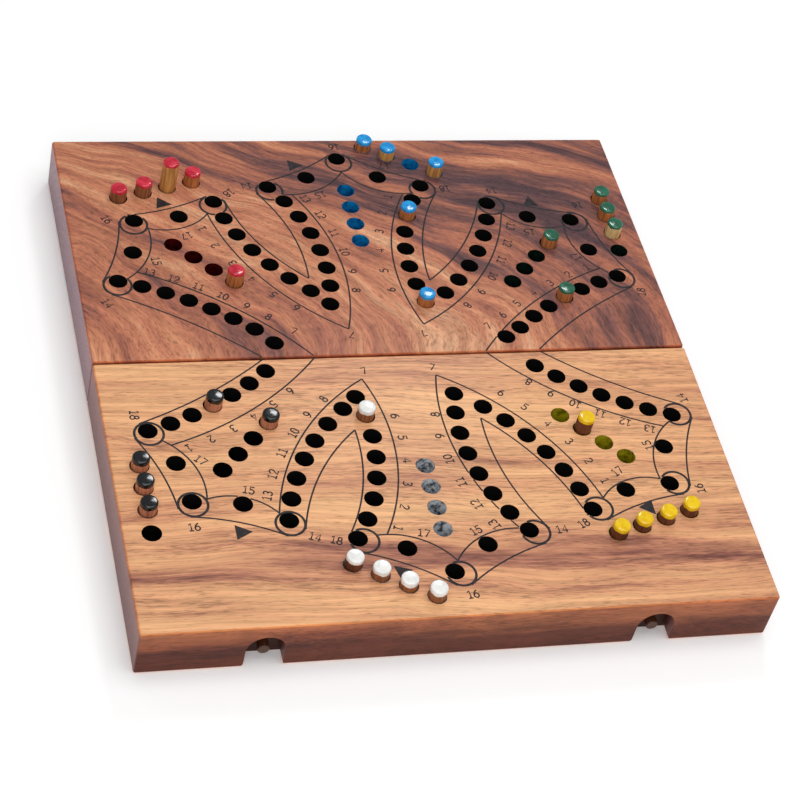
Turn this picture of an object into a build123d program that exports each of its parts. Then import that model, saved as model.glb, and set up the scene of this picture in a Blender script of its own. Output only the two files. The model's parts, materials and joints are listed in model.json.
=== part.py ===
from build123d import *
import os
from math import asin, atan2, cos, degrees, hypot, radians, sin

# A folding six-player peg race board: two thick hardwood halves joined by two small brass
# butt hinges let into the underside, blind peg holes in the playing faces and thirty loose
# pegs. Millimetres. +X runs along the seam, +Y towards the rear half, +Z is up, and the
# origin is the centre of the board's footprint on the table.
#
# Each half is modelled flat, with the hinge axis through the origin, and then settled onto
# the table: the knuckles hold the seam up a little, so each half slopes down to its outer
# edge.

# The two halves
BOARD_WIDTH = 290.0
HALF_DEPTH = 153.8
BOARD_THICK = 27.0
EDGE_ROUND = 1.2
SEAM_GAP = 0.3

# Peg holes and pegs
HOLE_DIA = 9.0
HOLE_DEPTH = 18.0
PEG_DIA = 8.0
PEG_LIFT = 0.3
SEATED_PROUD = 7.0
DRAWN_PROUD = 10.0
TIP_ROUND = 1.2
FOOT_CHAMFER = 0.4

# Hinges
HINGE_X = 90.0
HINGE_LENGTH = 25.0
LEAF_DEPTH = 14.0
LEAF_THICK = 1.2
KNUCKLE_R = 1.8
KNUCKLES = 5
KNUCKLE_PLAY = 0.3
PIN_R = 0.8
PIN_PLAY = 0.05
AXIS_DROP = 0.2
MORTISE_PLAY = 0.2
RELIEF_R = 2.2
LEAF_CORNER = 1.5
PIN_OVERHANG = 0.3
PIN_ROUND = 0.3

# Hinge screws
SCREW_X = 8.0
SCREW_Y = 8.5
SCREW_R = 1.1
SCREW_HEAD_R = 2.1
SCREW_LENGTH = 8.0
SLOT_WIDTH = 0.5
SLOT_DEPTH = 0.5
SLOT_TURNS = (-10.0, 70.0)
FIT_PLAY = 0.05

# Arched notches in the outer edges, each with a stud
NOTCH_X = 89.0
NOTCH_WIDTH = 17.5
NOTCH_HEIGHT = 20.0
NOTCH_DEPTH = 8.0
NOTCH_FLARE = 2.5
NOTCH_OVERCUT = 1.0
STUD_DIA = 5.5
STUD_HEIGHT = 8.0
STUD_PROUD = 5.5
STUD_LENGTH = 16.0
STUD_ROUND = 0.6

# The playing pattern, measured from its own centre for the right-hand rear quarter.
# The pattern's centre lies a little towards the rear of the seam.
PATTERN_CENTRE = (-1.0, 4.4)
STAR_POINT = (0.0, 134.5)
STAR_SHOULDER = (18.6, 120.4)
STAR_CORNER = (39.7, 113.6)
INNER_TIP = (23.8, 30.0)
WING_CORNER = (70.6, 101.9)
WING_SHOULDER = (89.5, 91.4)
WING_POINT = (111.9, 88.8)
WING_SIDE = (115.6, 66.5)
WING_END = (125.4, 47.0)
SEAM_TIP = (57.1, 5.0)
STAR_LANE_RISE = -9.2
WING_LANE_RISE = 8.0
SEAM_LANE_RISE = -4.8
HOME_FIRST = 24.0
HOME_STEP = 12.3
WING_ANGLE = 46.3
STAR_ROW = ((13.4, 145.0), (47.4, 125.5))
WING_ROW = ((79.4, 117.6), (117.2, 106.7))
SIDE_ROW = ((131.4, 65.3), (131.4, 103.5))

# Each arm was drilled with the jig set down by hand, so each stands off a little.
# So do the rows of start holes, and the four holes at the inner tips.
ARM_SHIFT = {
    "white": (-1.2, 0.6),
    "yellow": (1.0, -0.9),
    "green": (0.2, -1.8),
    "blue": (-1.1, 0.2),
    "red": (0.6, 1.5),
    "black": (0.9, 0.8),
}
START_SHIFT = {
    "white": (1.2, -1.7),
    "yellow": (0.3, 0.2),
    "green": (0.4, -1.7),
    "blue": (0.9, -1.8),
    "red": (0.5, 0.2),
    "black": (0.3, -1.0),
}
TIP_SHIFT = (-1.4, 0.0)

# The pegs: player, the hole each stands in, how far the tip stands above the face, how
# many degrees it leans in its loose hole, and the compass direction that it leans to,
# counted from +X towards +Y.
PEGS = [
    ("white", ("start", 1), 7.0, 1.6, -45), ("white", ("start", 2), 6.5, 1.2, 180),
    ("white", ("start", 3), 6.0, 1.6, 190), ("white", ("start", 4), 7.0, 0.6, 200),
    ("white", ("track", 6), 7.0, 1.2, 180),
    ("yellow", ("start", 1), 7.0, 2.0, -30), ("yellow", ("start", 2), 6.5, 0.6, -90),
    ("yellow", ("start", 3), 6.5, 0.8, -60), ("yellow", ("start", 4), 7.0, 1.2, 200),
    ("yellow", ("home", 3), 9.0, 2.0, 20),
    ("green", ("start", 2), 8.0, 1.2, 230), ("green", ("start", 3), 7.0, 1.0, 150),
    ("green", ("start", 4), 7.0, 0.6, -60), ("green", ("home", 1), 7.0, 1.8, -10),
    ("green", ("track", 3), 7.0, 0.8, 130),
    ("blue", ("start", 1), 8.0, 1.2, 180), ("blue", ("start", 3), 6.5, 1.4, 120),
    ("blue", ("start", 4), 6.5, 0.8, -80), ("blue", ("track", 2), 7.0, 1.0, 200),
    ("blue", ("track", 7), 7.0, 1.4, 220),
    ("red", ("start", 1), 8.0, 0.8, -70), ("red", ("start", 2), 17.0, 1.0, 20),
    ("red", ("start", 3), 8.0, 0.6, -90), ("red", ("start", 4), 7.0, 1.0, 130),
    ("red", ("home", 4), 8.5, 1.2, 60),
    ("black", ("start", 1), 6.5, 0.8, 0), ("black", ("start", 2), 6.5, 1.6, 10),
    ("black", ("start", 3), 6.5, 0.8, 20), ("black", ("track", 3), 7.5, 1.6, 0),
    ("black", ("home", 4), 7.0, 1.8, -10),
]

# Worked-out sizes
SEAM_Y = SEAM_GAP / 2
UNDER_Z = AXIS_DROP
TOP_Z = AXIS_DROP + BOARD_THICK
OUTER_Y = SEAM_Y + HALF_DEPTH
AXIS_HEIGHT = KNUCKLE_R
KNUCKLE_LENGTH = HINGE_LENGTH / KNUCKLES

OPPOSITE = {"blue": "white", "green": "black", "yellow": "red", "white": "blue"}


def resting_slope():
    """Degrees that each half slopes, so its rounded outer edge touches the table."""
    rise = UNDER_Z + EDGE_ROUND
    run = OUTER_Y - EDGE_ROUND
    drop = AXIS_HEIGHT - EDGE_ROUND
    return degrees(atan2(rise, run) + asin(drop / hypot(rise, run)))


SLOPE = resting_slope()


# ---- the playing pattern, as plain points -------------------------------------------

def along_arc(start, end, rise, count):
    """Evenly spaced points from start to end on an arc that bulges by rise to its left."""
    chord = Vector(*end) - Vector(*start)
    forward = chord.normalized()
    left = Vector(-forward.Y, forward.X) * (1 if rise > 0 else -1)
    sagitta = abs(rise)
    radius = (chord.length ** 2 / 4 + sagitta ** 2) / (2 * sagitta)
    half_turn = asin(chord.length / 2 / radius)
    centre = Vector(*start) + chord * 0.5 + left * (sagitta - radius)
    points = []
    for step in range(count):
        turn = half_turn * (2 * step / (count - 1) - 1)
        point = centre + forward * (radius * sin(turn)) + left * (radius * cos(turn))
        points.append((point.X, point.Y))
    return points


def mirrored(points):
    """The same points in front of the pattern's centre instead of behind it."""
    return [(x, -y) for x, y in points]


def track_side():
    """The 53 track holes of the right-hand side, in playing order: (player, number): point."""
    star_lane = along_arc(STAR_CORNER, INNER_TIP, STAR_LANE_RISE, 8)
    wing_lane = along_arc(WING_CORNER, INNER_TIP, WING_LANE_RISE, 8)
    seam_lane = along_arc(WING_END, SEAM_TIP, SEAM_LANE_RISE, 8)
    wing_rim = [WING_CORNER, WING_SHOULDER, WING_POINT, WING_SIDE, WING_END]
    rear = [STAR_SHOULDER] + star_lane[:-1] + [INNER_TIP]
    rear += wing_lane[-2:0:-1] + wing_rim + seam_lane[1:-1]
    order = rear + [SEAM_TIP] + mirrored(rear[::-1])
    return dict(zip(track_names(), order))


def track_names():
    """Players and hole numbers of the right-hand side, rear to front."""
    names = [("blue", number) for number in (17, 18, 1, 2, 3, 4, 5, 6, 7)]
    names += [("green", number) for number in range(8, 19)]
    names += [("green", number) for number in range(1, 8)]
    names += [("yellow", number) for number in range(8, 19)]
    names += [("yellow", number) for number in range(1, 8)]
    names += [("white", number) for number in range(8, 16)]
    return names


def line_of(row, count):
    """Evenly spaced points from the row's first end to its second."""
    (x0, y0), (x1, y1) = row
    parts = [step / (count - 1) for step in range(count)]
    return [(x0 + (x1 - x0) * part, y0 + (y1 - y0) * part) for part in parts]


def home_row(point, angle):
    """The four home holes, from the outermost inwards, down the middle of an arm."""
    steps = [HOME_FIRST + HOME_STEP * step for step in range(4)]
    turn = radians(angle)
    return [(point[0] - step * cos(turn), point[1] - step * sin(turn)) for step in steps]


def peg_holes():
    """Every hole of the board: (player, kind, number): (x, y) on the flat board."""
    right = {}
    for (player, number), point in track_side().items():
        right[player, "track", number] = point
    wing_home = home_row(WING_POINT, WING_ANGLE)
    star_start = line_of(STAR_ROW, 4)[::-1]
    for step in range(4):
        right["blue", "home", step + 1] = home_row(STAR_POINT, 90)[step]
        right["green", "home", step + 1] = wing_home[step]
        right["yellow", "home", step + 1] = mirrored(wing_home)[step]
        right["blue", "start", step + 1] = star_start[step]
        right["green", "start", step + 1] = line_of(SIDE_ROW, 4)[step]
        right["yellow", "start", step + 1] = mirrored(line_of(WING_ROW, 4))[step]
    right["blue", "track", 16] = STAR_POINT
    holes = dict(right)
    for (player, kind, number), (x, y) in right.items():
        holes[OPPOSITE[player], kind, number] = (-x, -y)
    # Both holes at the seam stand on the rear half, clear of the joint.
    holes["black", "track", 7] = (-SEAM_TIP[0], SEAM_TIP[1])
    return {name: set_down(name, point) for name, point in holes.items()}


def set_down(name, point):
    """Move a hole from the ideal pattern to where it was drilled."""
    player, kind, number = name
    centre_x, centre_y = PATTERN_CENTRE
    shift_x, shift_y = START_SHIFT[player] if kind == "start" else ARM_SHIFT[player]
    if kind == "track" and number == 7:
        at_seam = player in ("green", "black")
        shift_x, shift_y = (0.0, 0.0) if at_seam else TIP_SHIFT
    return (point[0] + centre_x + shift_x, point[1] + centre_y + shift_y)


# ---- placing ------------------------------------------------------------------------

def settle(shape, half):
    """Move a shape modelled flat to where its half rests on the table."""
    slope = -SLOPE if half == "rear" else SLOPE
    return Pos(0, 0, AXIS_HEIGHT) * shape.rotate(Axis.X, slope)


def settled_vector(vector, half):
    """Turn a direction of the flat board with its half."""
    slope = -SLOPE if half == "rear" else SLOPE
    return vector.rotate(Axis.X, slope)


def settled_point(point, half):
    """Where a point of the flat board comes to rest."""
    return settled_vector(point, half) + Vector(0, 0, AXIS_HEIGHT)


def outward(half):
    """The direction along Y from the seam to a half's outer edge."""
    return 1 if half == "rear" else -1


# ---- the halves and what is let into them -------------------------------------------

def plain_half():
    """One rectangular half with all its edges eased, on the rear side of the seam."""
    centre_y = SEAM_Y + HALF_DEPTH / 2
    centre_z = UNDER_Z + BOARD_THICK / 2
    block = Pos(0, centre_y, centre_z) * Box(BOARD_WIDTH, HALF_DEPTH, BOARD_THICK)
    return fillet(block.edges(), EDGE_ROUND)


def notch_cutter():
    """The arch that is cut into an outer edge, with its lower corners flared."""
    side = NOTCH_WIDTH / 2
    foot = side + NOTCH_FLARE
    bulge = NOTCH_FLARE * (1 - cos(radians(45)))
    spring = NOTCH_HEIGHT - side
    with BuildSketch(Plane.XZ) as arch:
        with BuildLine():
            ThreePointArc((-foot, 0), (-side - bulge, bulge), (-side, NOTCH_FLARE))
            Line((-side, NOTCH_FLARE), (-side, spring))
            ThreePointArc((-side, spring), (0, NOTCH_HEIGHT), (side, spring))
            Line((side, spring), (side, NOTCH_FLARE))
            ThreePointArc((side, NOTCH_FLARE), (side + bulge, bulge), (foot, 0))
            Polyline((foot, 0), (foot, -NOTCH_OVERCUT), (-foot, -NOTCH_OVERCUT), (-foot, 0))
        make_face()
    length = NOTCH_DEPTH + NOTCH_OVERCUT
    return Pos(0, NOTCH_OVERCUT, 0) * extrude(arch.sketch, amount=length)


def stud_rod(radius):
    """A rod along Y at a stud's place, from its proud end inwards, on the rear side."""
    middle_y = OUTER_Y - NOTCH_DEPTH + STUD_PROUD - STUD_LENGTH / 2
    rod = Cylinder(radius, STUD_LENGTH, rotation=(90, 0, 0))
    return Pos(0, middle_y, UNDER_Z + STUD_HEIGHT) * rod


def peg_hole_cutter(x, y):
    """One blind peg hole."""
    depth = HOLE_DEPTH + 1
    return Pos(x, y, TOP_Z + 1 - depth / 2) * Cylinder(HOLE_DIA / 2, depth)


def leaf_recess():
    """The shallow mortise for one hinge leaf and the relief for its knuckles."""
    width = HINGE_LENGTH + 2 * MORTISE_PLAY
    depth = LEAF_DEPTH + MORTISE_PLAY
    height = LEAF_THICK + FIT_PLAY
    mortise = Pos(0, depth / 2, UNDER_Z + height / 2 - 1) * Box(width, depth, height + 2)
    relief = Cylinder(RELIEF_R, width, rotation=(0, 90, 0))
    return mortise + relief


def screw_places():
    """The two screws of one leaf."""
    return [(-SCREW_X, SCREW_Y), (SCREW_X, SCREW_Y)]


def screw_body(x, y, play):
    """A countersunk screw pointing up into the wood; play makes it a clearance cutter."""
    head_height = SCREW_HEAD_R - SCREW_R
    cone = Cone(SCREW_HEAD_R + play, SCREW_R + play, head_height)
    shank = Cylinder(SCREW_R + play, SCREW_LENGTH + play)
    head = Pos(x, y, UNDER_Z + head_height / 2) * cone
    return head + Pos(x, y, UNDER_Z + SCREW_LENGTH / 2 + play / 2) * shank


def make_half(half):
    """A board half with its peg holes, notches, hinge mortises and screw holes."""
    side = outward(half)
    board = plain_half()
    for place in (-NOTCH_X, NOTCH_X):
        board -= Pos(place, OUTER_Y, UNDER_Z) * notch_cutter()
        board -= Pos(place, 0, 0) * stud_rod(STUD_DIA / 2 + FIT_PLAY)
    for place in (-HINGE_X, HINGE_X):
        board -= Pos(place, 0, 0) * leaf_recess()
        for x, y in screw_places():
            board -= Pos(place, 0, 0) * screw_body(x, y, FIT_PLAY)
    own_holes = [(x, y * side) for x, y in peg_holes().values() if y * side > 0]
    board = board.cut(*[peg_hole_cutter(x, y) for x, y in own_holes])
    return facing(board, half)


def facing(shape, half):
    """Mirror a shape made for the rear half when it belongs to the front half."""
    return shape if half == "rear" else mirror(shape, about=Plane.XZ)


def make_stud(place):
    """A short dowel that stands in the back of a notch."""
    rod = Pos(place, 0, 0) * stud_rod(STUD_DIA / 2)
    end = rod.edges().group_by(Axis.Y)[-1]
    return fillet(end, STUD_ROUND)


# ---- hinges -------------------------------------------------------------------------

def knuckle_centres(half):
    """Middles of the knuckles that belong to one leaf: outer and middle ones at the rear."""
    first = 0 if half == "rear" else 1
    start = -HINGE_LENGTH / 2 + KNUCKLE_LENGTH / 2
    return [start + KNUCKLE_LENGTH * step for step in range(first, KNUCKLES, 2)]


def make_leaf(half):
    """A hinge leaf with its knuckles, modelled on the rear side of the seam."""
    plate = Pos(0, LEAF_DEPTH / 2, UNDER_Z + LEAF_THICK / 2)
    leaf = plate * Box(HINGE_LENGTH, LEAF_DEPTH, LEAF_THICK)
    corners = leaf.edges().filter_by(Axis.Z).group_by(Axis.Y)[-1]
    leaf = fillet(corners, LEAF_CORNER)
    other = "front" if half == "rear" else "rear"
    gap = KNUCKLE_LENGTH + KNUCKLE_PLAY
    room = KNUCKLE_R + KNUCKLE_PLAY
    for centre in knuckle_centres(other):
        leaf -= Pos(centre, 0, 0) * Box(gap, 2 * room, 4 * room)
    for centre in knuckle_centres(half):
        tube = Cylinder(KNUCKLE_R, KNUCKLE_LENGTH - KNUCKLE_PLAY, rotation=(0, 90, 0))
        leaf += Pos(centre, 0, 0) * tube
    leaf -= Cylinder(PIN_R + PIN_PLAY, HINGE_LENGTH + 1, rotation=(0, 90, 0))
    for x, y in screw_places():
        leaf -= screw_body(x, y, FIT_PLAY)
    return leaf


def make_pin():
    """The hinge pin, slightly domed at its ends."""
    pin = Cylinder(PIN_R, HINGE_LENGTH + 2 * PIN_OVERHANG, rotation=(0, 90, 0))
    return fillet(pin.edges().filter_by(GeomType.CIRCLE), PIN_ROUND)


def make_screw(x, y, slot_turn):
    """One slotted screw of a leaf, its slot left at some angle."""
    screw = screw_body(x, y, 0)
    slot = Box(3 * SCREW_HEAD_R, SLOT_WIDTH, SLOT_DEPTH).rotate(Axis.Z, slot_turn)
    return screw - Pos(x, y, UNDER_Z + SLOT_DEPTH / 2) * slot


# ---- pegs ---------------------------------------------------------------------------

def peg_half(hole):
    """The half that a hole is in."""
    return "rear" if peg_holes()[hole][1] > 0 else "front"


def peg_length(proud):
    """Length of a peg: it reaches the bottom of its hole, unless it stands partly drawn."""
    seated_proud = SEATED_PROUD if proud > DRAWN_PROUD else proud
    return HOLE_DEPTH - PEG_LIFT + seated_proud


def peg_middle(hole):
    """The point halfway down a hole, about which its peg leans, on the flat board."""
    x, y = peg_holes()[hole]
    return Vector(x, y, TOP_Z - HOLE_DEPTH / 2)


def peg_lean_axis(towards):
    """The horizontal axis that a peg turns about when it leans towards a direction."""
    turn = radians(towards)
    return Vector(-sin(turn), cos(turn), 0)


def make_peg(hole, proud, lean, towards):
    """A peg with a rounded painted tip and a small chamfer at its foot, in its hole."""
    length = peg_length(proud)
    peg = Cylinder(PEG_DIA / 2, length)
    peg = fillet(peg.edges().group_by(Axis.Z)[-1], TIP_ROUND)
    peg = chamfer(peg.edges().group_by(Axis.Z)[0], FOOT_CHAMFER)
    middle = peg_middle(hole)
    peg = Pos(middle.X, middle.Y, TOP_Z + proud - length / 2) * peg
    return peg.rotate(Axis(middle, peg_lean_axis(towards)), lean)


def peg_axis(half, lean, towards):
    """The direction that a peg pulls out in, at rest."""
    upright = Vector(0, 0, 1).rotate(Axis((0, 0, 0), peg_lean_axis(towards)), lean)
    return settled_vector(upright, half)


def named_pegs():
    """Each peg's node name with its hole and pose."""
    count = {}
    named = {}
    for player, place, proud, lean, towards in PEGS:
        count[player] = count.get(player, 0) + 1
        hole = (player,) + place
        named[f"{player}_peg_{count[player]}"] = (hole, proud, lean, towards)
    return named


# ---- everything ---------------------------------------------------------------------

def make_parts():
    """All nodes at rest."""
    parts = {}
    for half in ("rear", "front"):
        parts[f"{half}_board"] = settle(make_half(half), half)
        for side, sign in (("left", -1), ("right", 1)):
            stud = make_stud(sign * NOTCH_X)
            parts[f"{half}_{side}_stud"] = settle(facing(stud, half), half)
            hinge_place = Pos(sign * HINGE_X, 0, 0)
            leaf = hinge_place * facing(make_leaf(half), half)
            parts[f"{side}_hinge_{half}_leaf"] = settle(leaf, half)
            for number, (x, y) in enumerate(screw_places(), 1):
                turn = SLOT_TURNS[number - 1]
                screw = hinge_place * facing(make_screw(x, y, turn), half)
                parts[f"{side}_hinge_{half}_screw_{number}"] = settle(screw, half)
    for side, sign in (("left", -1), ("right", 1)):
        parts[f"{side}_hinge_pin"] = settle(Pos(sign * HINGE_X, 0, 0) * make_pin(), "rear")
    for name, (hole, proud, lean, towards) in named_pegs().items():
        peg = make_peg(hole, proud, lean, towards)
        parts[name] = settle(peg, peg_half(hole))
    return parts


if __name__ == "__main__":
    os.makedirs("parts", exist_ok=True)
    for name, shape in make_parts().items():
        export_step(shape, f"parts/{name}.step")
    print(len(peg_holes()), "holes, slope", round(SLOPE, 3))
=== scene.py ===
import json
from math import asin, atan2, cos, degrees, hypot, pi, radians, sin

import bpy
from mathutils import Matrix, Vector


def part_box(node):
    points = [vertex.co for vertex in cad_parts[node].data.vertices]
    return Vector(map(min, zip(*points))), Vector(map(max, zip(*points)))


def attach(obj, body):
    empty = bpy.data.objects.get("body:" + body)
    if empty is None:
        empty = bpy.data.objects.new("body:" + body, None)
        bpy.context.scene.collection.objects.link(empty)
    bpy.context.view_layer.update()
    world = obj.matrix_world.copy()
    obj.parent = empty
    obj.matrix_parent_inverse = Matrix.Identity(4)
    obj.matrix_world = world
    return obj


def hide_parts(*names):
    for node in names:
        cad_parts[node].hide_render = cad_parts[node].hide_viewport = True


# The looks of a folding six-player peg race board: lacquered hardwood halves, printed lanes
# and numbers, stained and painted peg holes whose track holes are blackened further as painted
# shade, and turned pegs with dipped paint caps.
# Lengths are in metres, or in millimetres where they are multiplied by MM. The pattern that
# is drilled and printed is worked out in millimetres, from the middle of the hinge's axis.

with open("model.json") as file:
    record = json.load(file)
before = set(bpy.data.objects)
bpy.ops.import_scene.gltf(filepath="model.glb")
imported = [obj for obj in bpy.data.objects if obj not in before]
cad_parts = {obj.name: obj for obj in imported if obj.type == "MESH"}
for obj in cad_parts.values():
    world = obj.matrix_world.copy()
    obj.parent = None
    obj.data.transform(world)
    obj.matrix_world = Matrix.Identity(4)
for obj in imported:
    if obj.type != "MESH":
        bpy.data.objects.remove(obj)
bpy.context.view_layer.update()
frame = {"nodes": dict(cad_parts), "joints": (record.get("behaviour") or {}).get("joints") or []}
nodes = frame["nodes"]
MM = 0.001

# ---- sizes --------------------------------------------------------------------------

# Camera, and what it looks at
LENS_MM = 110.2
SENSOR_MM = 36.0
LOOK_AT = Vector((-4.8, -27.3, 27.0)) * MM
CAMERA_DISTANCE = 1.137
CAMERA_AZIMUTH = 23.05
CAMERA_ELEVATION = 45.4
CAMERA_ROLL = 14.9

# Peg holes and what lines them
HOLE_RADIUS = 4.5 * MM
HOLE_DEPTH = 18 * MM
LINER_RADIUS = 4.4 * MM
LINER_WALL = 0.05 * MM
LINER_SIDES = 32
LINER_SINK = 0.02 * MM
# How far a face's corners may stand off a hole's floor and still belong to it
FLOOR_PLAY = 0.1 * MM
# A hole within this of the ideal track is a track hole; others are a player's own
TRACK_REACH = 11.5 * MM

# Pegs
PEG_RADIUS = 4.0 * MM
PEG_SIDES = 36
CAP_ROUND = 0.9 * MM
FOOT_CHAMFER = 0.4 * MM
CAP_CROWN = 0.15 * MM
# Steps in from the cap's rim, as shares of its flat top; each also rises by its share
CAP_STEPS = (0.35, 0.3, 0.2)
PEG_LENGTH_STEP = 0.5 * MM

# Printed ink: round strokes pressed flat, just above the wood
INK_LIFT = 0.03 * MM
INK_FLATNESS = 0.05
INK_WELD = 0.002 * MM
LINE_WIDTH = 0.8 * MM
RING_WIDTH = 1.2 * MM
NUMBER_WIDTH = 0.7 * MM

# The same in the pattern's millimetres: the rings and their outer edge, the digits, the
# spacing of points along a line, and how far lines stay from the seam
RING_RADIUS = 6.6
RING_EDGE = 7.2
RING_SIDES = 60
NUMBER_HEIGHT = 4.0
NUMBER_STEP = 2.9
DIGIT_MIDDLE = 0.3
DIGIT_TURN = 24
INK_STEP = 0.7
SEAM_CLEARANCE = 0.5

# The drilled and printed pattern, for the right-hand rear quarter, in millimetres, and
# where the drill's pattern has its centre
DRILLED_CENTRE = (-1.0, 4.4)
STAR_POINT = (0.0, 134.5)
STAR_SHOULDER = (18.6, 120.4)
STAR_CORNER = (39.7, 113.6)
INNER_TIP = (23.8, 30.0)
WING_CORNER = (70.6, 101.9)
WING_SHOULDER = (89.5, 91.4)
WING_POINT = (111.9, 88.8)
WING_SIDE = (115.6, 66.5)
WING_END = (125.4, 47.0)
SEAM_TIP = (57.1, 5.0)
STAR_LANE_RISE = -9.2
WING_LANE_RISE = 8.0
SEAM_LANE_RISE = -4.8
STAR_HEART = (0.0, 97.0)
WING_HEART = (86.0, 78.0)
LANE_HOLES = 8
OPPOSITE = {"blue": "white", "green": "black", "yellow": "red"}
PLAYERS_ON = {"rear": ("blue", "green", "red"), "front": ("white", "yellow", "black")}
HALF_OF = {player: half for half, players in PLAYERS_ON.items() for player in players}
CORNERS = (14, 16, 18)

# Where each player's arm is printed, from the ideal pattern
PRINT_SHIFT = {
    "blue": (-1.6, 1.7),
    "green": (1.0, 0.9),
    "yellow": (2.8, 3.6),
    "white": (0.5, 3.6),
    "black": (0.2, 3.5),
    "red": (-1.0, 3.2),
}

# Each lane: (player, ring at its outer end, hole next to its inner end, the V that its
# lines run to, kind of lane, where its inside line leaves the curve between the rings)
LANES = [
    ("blue", 14, 8, "rear_left", "star", 4.0), ("blue", 18, 6, "rear_right", "star", 4.4),
    ("green", 14, 8, "rear_right", "wing", 0.0), ("green", 18, 6, "seam_right", "seam", 5.0),
    ("yellow", 14, 8, "seam_right", "seam", 4.0), ("yellow", 18, 6, "front_right", "wing", 0.0),
    ("white", 14, 8, "front_right", "star", 0.0), ("white", 18, 6, "front_left", "star", 4.5),
    ("black", 14, 8, "front_left", "wing", 0.0), ("black", 18, 6, "seam_left", "seam", 4.0),
    ("red", 14, 8, "seam_left", "seam", 6.0), ("red", 18, 6, "rear_left", "wing", 0.0),
]
# The two points of each V between neighbouring lanes: near the middle, and further out
TIPS = {
    "rear_left": ((-20.6, 17.3), (-33.3, 52.2)),
    "rear_right": ((17.0, 19.3), (26.8, 49.3)),
    "seam_right": ((43.8, 0.2), (70.7, 0.0)),
    "front_right": ((15.3, -13.5), (30.8, -41.3)),
    "front_left": ((-20.9, -14.6), (-30.6, -45.7)),
    "seam_left": ((-41.1, 0.2), (-65.8, 0.0)),
}
# How far the lines bulge, for each kind of lane and for the bands between the rings
INSIDE_RISE = {"star": 10.3, "wing": 9.8, "seam": 6.2}
OUTSIDE_RISE = {"star": 5.2, "wing": 5.2, "seam": 2.8}
BAND_INSIDE_RISE = 5.2
BAND_OUTSIDE_RISE = 2.3

# How far the numbers stand off their lanes: beside holes 1 to 6, and beside holes 8 to 13
NUMBER_OFF = {
    "blue": (14.0, 11.7), "green": (13.5, 10.4), "yellow": (11.6, 13.6),
    "white": (11.2, 12.7), "black": (14.4, 11.6), "red": (12.4, 13.7),
}
# Numbers on the outer ends of the arms: offset from their holes, and turn in degrees
RIM_NUMBERS = {
    ("blue", 14): (-11.0, 4.0, 180), ("blue", 15): (4.5, -10.0, 195),
    ("blue", 16): (0.0, 12.0, 180), ("blue", 17): (5.0, 11.5, 175),
    ("blue", 18): (12.0, 0.5, 180),
    ("green", 14): (3.0, 11.0, 185), ("green", 15): (-3.5, -9.5, 175),
    ("green", 16): (5.0, 12.5, 180), ("green", 17): (-10.0, -3.5, 115),
    ("green", 18): (7.5, -10.0, 80),
    ("yellow", 14): (5.5, 10.0, 105), ("yellow", 15): (-10.5, 1.0, 100),
    ("yellow", 16): (11.0, -4.0, 95), ("yellow", 17): (-4.0, 11.0, 28),
    ("yellow", 18): (-9.5, -8.0, 22),
    ("white", 14): (12.5, 1.0, 3), ("white", 15): (-6.5, 9.5, 20),
    ("white", 16): (2.5, -11.5, 5), ("white", 17): (6.5, 9.5, -16),
    ("white", 18): (-12.5, 1.0, -22),
    ("black", 14): (9.5, -8.0, -24), ("black", 15): (3.5, 9.5, -18),
    ("black", 16): (-1.5, -12.5, 2), ("black", 17): (11.0, 3.0, -45),
    ("black", 18): (-5.0, 11.5, 265),
    ("red", 14): (-6.5, -12.0, -63), ("red", 15): (11.0, -3.5, -85),
    ("red", 16): (-12.5, 4.0, -63), ("red", 17): (2.5, -11.0, 198),
    ("red", 18): (9.5, 9.0, 215),
}
# The six sevens, near the middle: place and turn
SEVENS = [
    (-19.5, 13.2, 160), (15.6, 13.3, 200), (48.6, 16.9, 30),
    (14.5, -8.4, -15), (-19.0, -9.6, 12), (-47.4, 16.9, -30),
]
# The six direction marks: place and the way that each points, in degrees
MARKS = [
    (-25.6, 134.4, 0), (92.8, 104.6, 88), (97.5, -98.9, -62),
    (-25.7, -128.3, 133), (-92.9, -101.9, 0), (-96.8, 107.0, -10),
]
MARK_BASE = 8.3
MARK_LENGTH = 7.6
MARK_ROUND = 0.25 * MM

# Figure of the rear half: bands arch as y squared over ARCH_WIDTH, lean with x and with the
# depth into the board, and run down to the right
ARCH_WIDTH = 250.0
BAND_LEAN = 0.46
BAND_DEPTH_LEAN = 0.6
BAND_FALL = -0.5
# Figure of the front half: how the grain falls to the right and wanders, and the two edges
# of its heartwood, counted across the grain
GRAIN_FALL = 0.04
GRAIN_WANDER = 20.0
HEARTWOOD = (-134.0, -94.0)
# The sides, which are painted darker as shade: heights between which their darker lower
# part gives way, and how far its border wanders
DARK_EDGE = (24.0, 40.0)
DARK_EDGE_WANDER = 26.0
# The pith that the end grain's rings run round, and where the notches' walls lie: the
# distance from the seam at which they reach the outer edge, and clear of seam and ends
PITH = (0, -60, 45)
NOTCH_MOUTH = (148.0, 151.5)
NOTCH_FROM_SEAM = (5.0, 15.0)
NOTCH_WITHIN = 130.0

# Stage: side of the floor, light of the surroundings, and each light's name, size in
# metres, power in watts and place
FLOOR_SIZE = 8
FLOOR_GLOW = 0.1
SURROUND_STRENGTH = 0.36
LIGHTS = [
    ("overhead", 1.6, 23.0, (0.3, -0.1, 2.2)),
    ("front", 1.2, 12.0, (-0.5, -1.6, 1.5)),
    ("rim", 0.22, 2.6, (0.43, 1.0, 1.2)),
]

# ---- small helpers ------------------------------------------------------------------


def srgb(code):
    """A hex colour as the four linear values that a shader takes."""
    parts = [int(code[i:i + 2], 16) / 255 for i in (1, 3, 5)]
    linear = [p / 12.92 if p <= 0.04045 else ((p + 0.055) / 1.055) ** 2.4 for p in parts]
    return (*linear, 1.0)


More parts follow.
